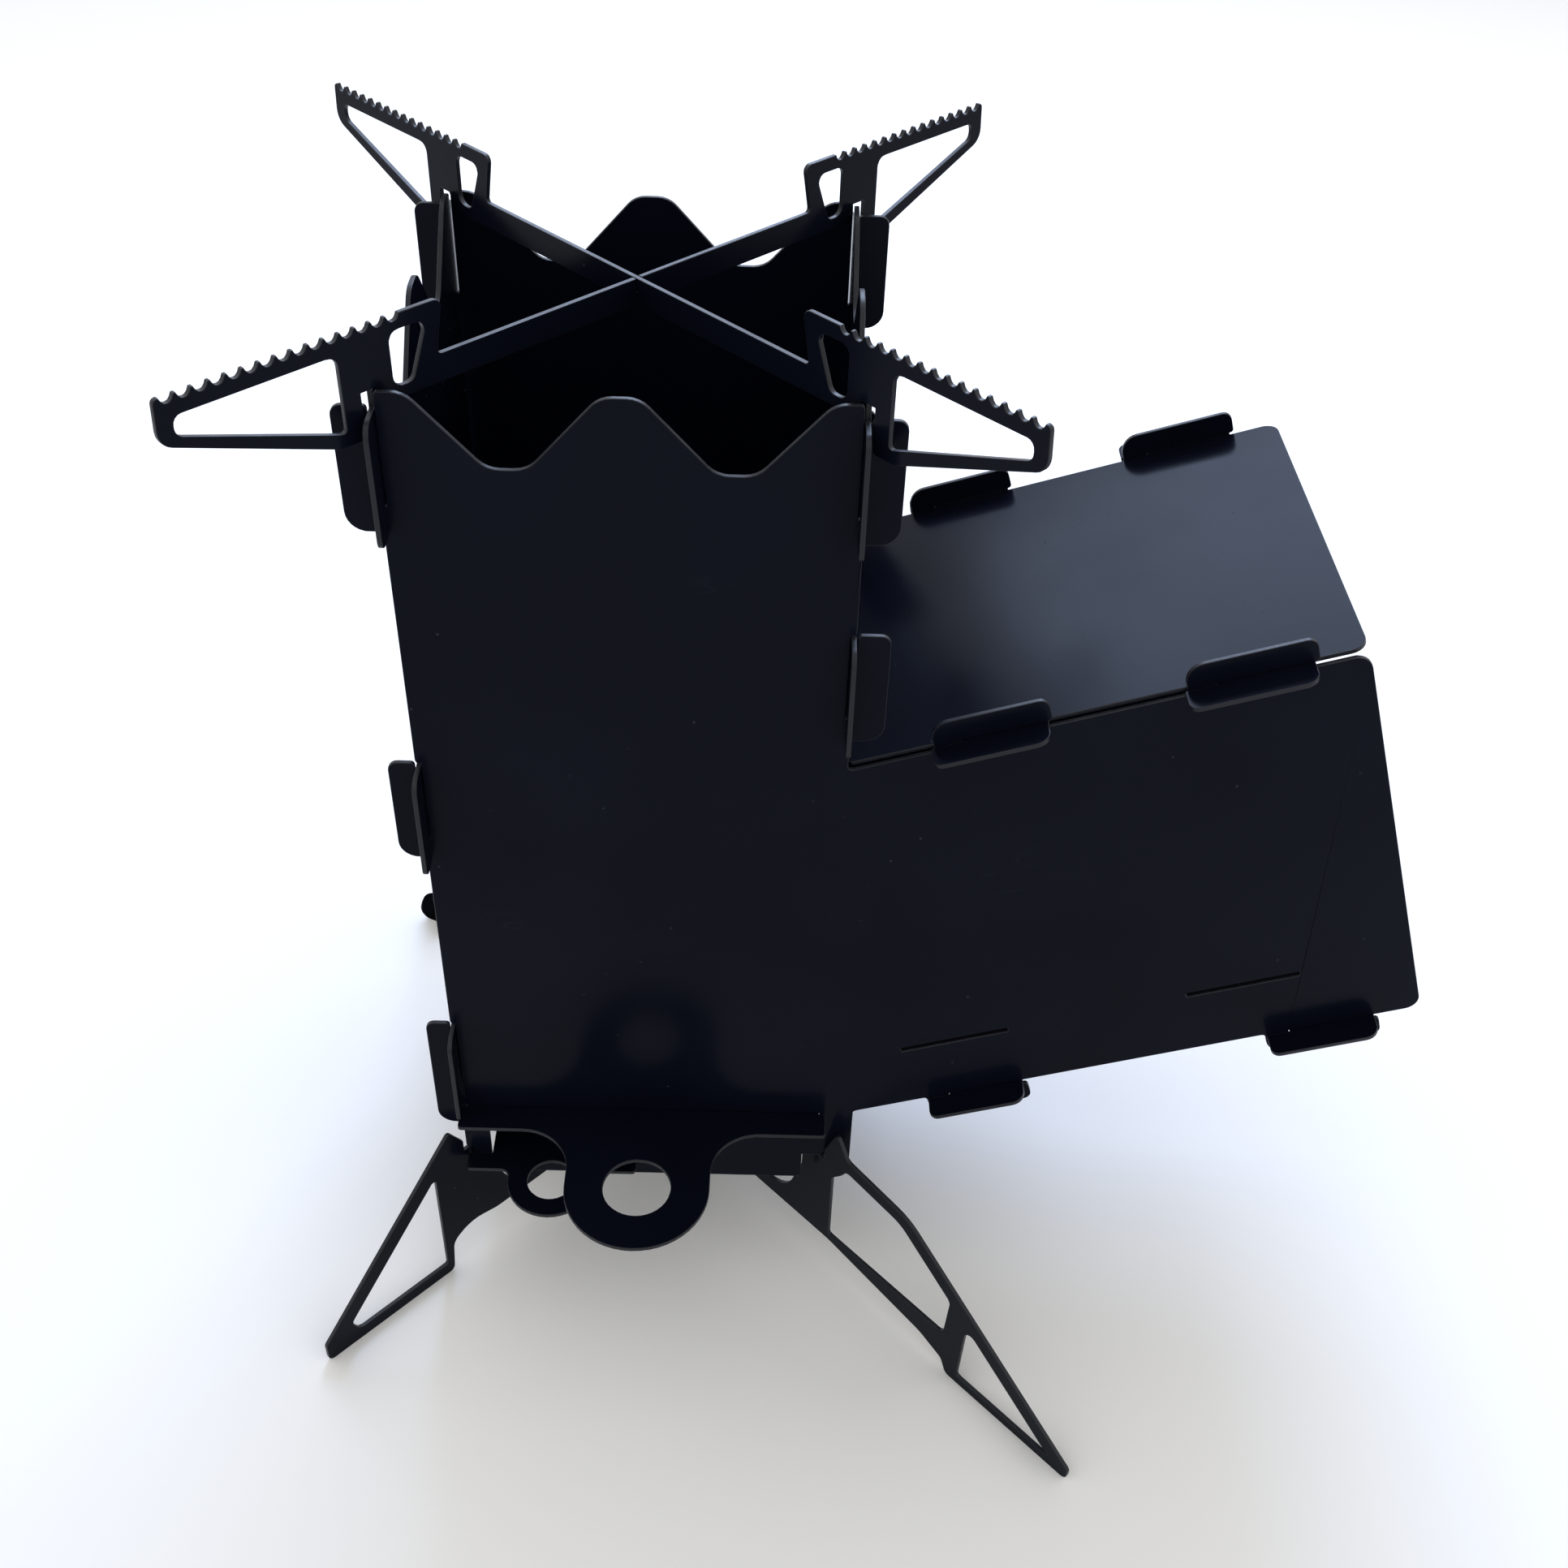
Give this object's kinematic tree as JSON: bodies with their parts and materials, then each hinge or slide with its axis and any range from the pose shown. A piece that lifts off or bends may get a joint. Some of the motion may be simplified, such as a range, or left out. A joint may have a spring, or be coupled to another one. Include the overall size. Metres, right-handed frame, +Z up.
{
  "type": "rocket stove",
  "caption": "Flat-pack steel rocket stove: square chimney with wavy rim, slanted feed chute, pull-out slides, crossed leg plates and saw-toothed pot supports.",
  "frame": {"origin": "middle of the footprint of the whole stove, on the level ground under the feet", "axes": "+Z up, +X towards the raised mouth of the feed chute, -Y towards the side with the finger pulls"},
  "size_m": [0.3776, 0.3154, 0.384],
  "materials": {
    "panel": "satin black heat-proof paint",
    "wall": "satin black heat-proof paint",
    "chute": "satin black heat-proof paint, lit from above",
    "inner": "matt black heat-proof paint",
    "slide": "satin black heat-proof paint",
    "support": "satin black heat-proof paint",
    "leg": "satin black heat-proof paint"
  },
  "bodies": {
    "stove_body": {"front_panel": "panel", "back_panel": "panel", "left_wall": "wall", "right_wall": "wall", "chute_top": "chute", "chute_floor": "chute", "fuel_shelf": "inner", "ember_grate": "inner", "leg_plate_lower": "leg", "leg_plate_upper": "leg"},
    "ash_slide": {"ash_slide": "slide"},
    "lower_tray": {"lower_tray": "slide"},
    "pot_support_lower": {"pot_support_lower": "support"},
    "pot_support_upper": {"pot_support_upper": "support"}
  },
  "joints": [
    {"name": "ash_slide_pull", "type": "slide", "parent": "stove_body", "child": "ash_slide", "axis": [0, -1, 0], "range_m": [0, 0.09]},
    {"name": "lower_tray_pull", "type": "slide", "parent": "stove_body", "child": "lower_tray", "axis": [0, -1, 0], "range_m": [0, 0.09]},
    {"name": "pot_support_lower_lift", "type": "slide", "parent": "stove_body", "child": "pot_support_lower", "axis": [0, 0, 1], "range_m": [0, 0.03]},
    {"name": "pot_support_upper_lift", "type": "slide", "parent": "pot_support_lower", "child": "pot_support_upper", "axis": [0, 0, 1], "range_m": [0, 0.03]}
  ]
}
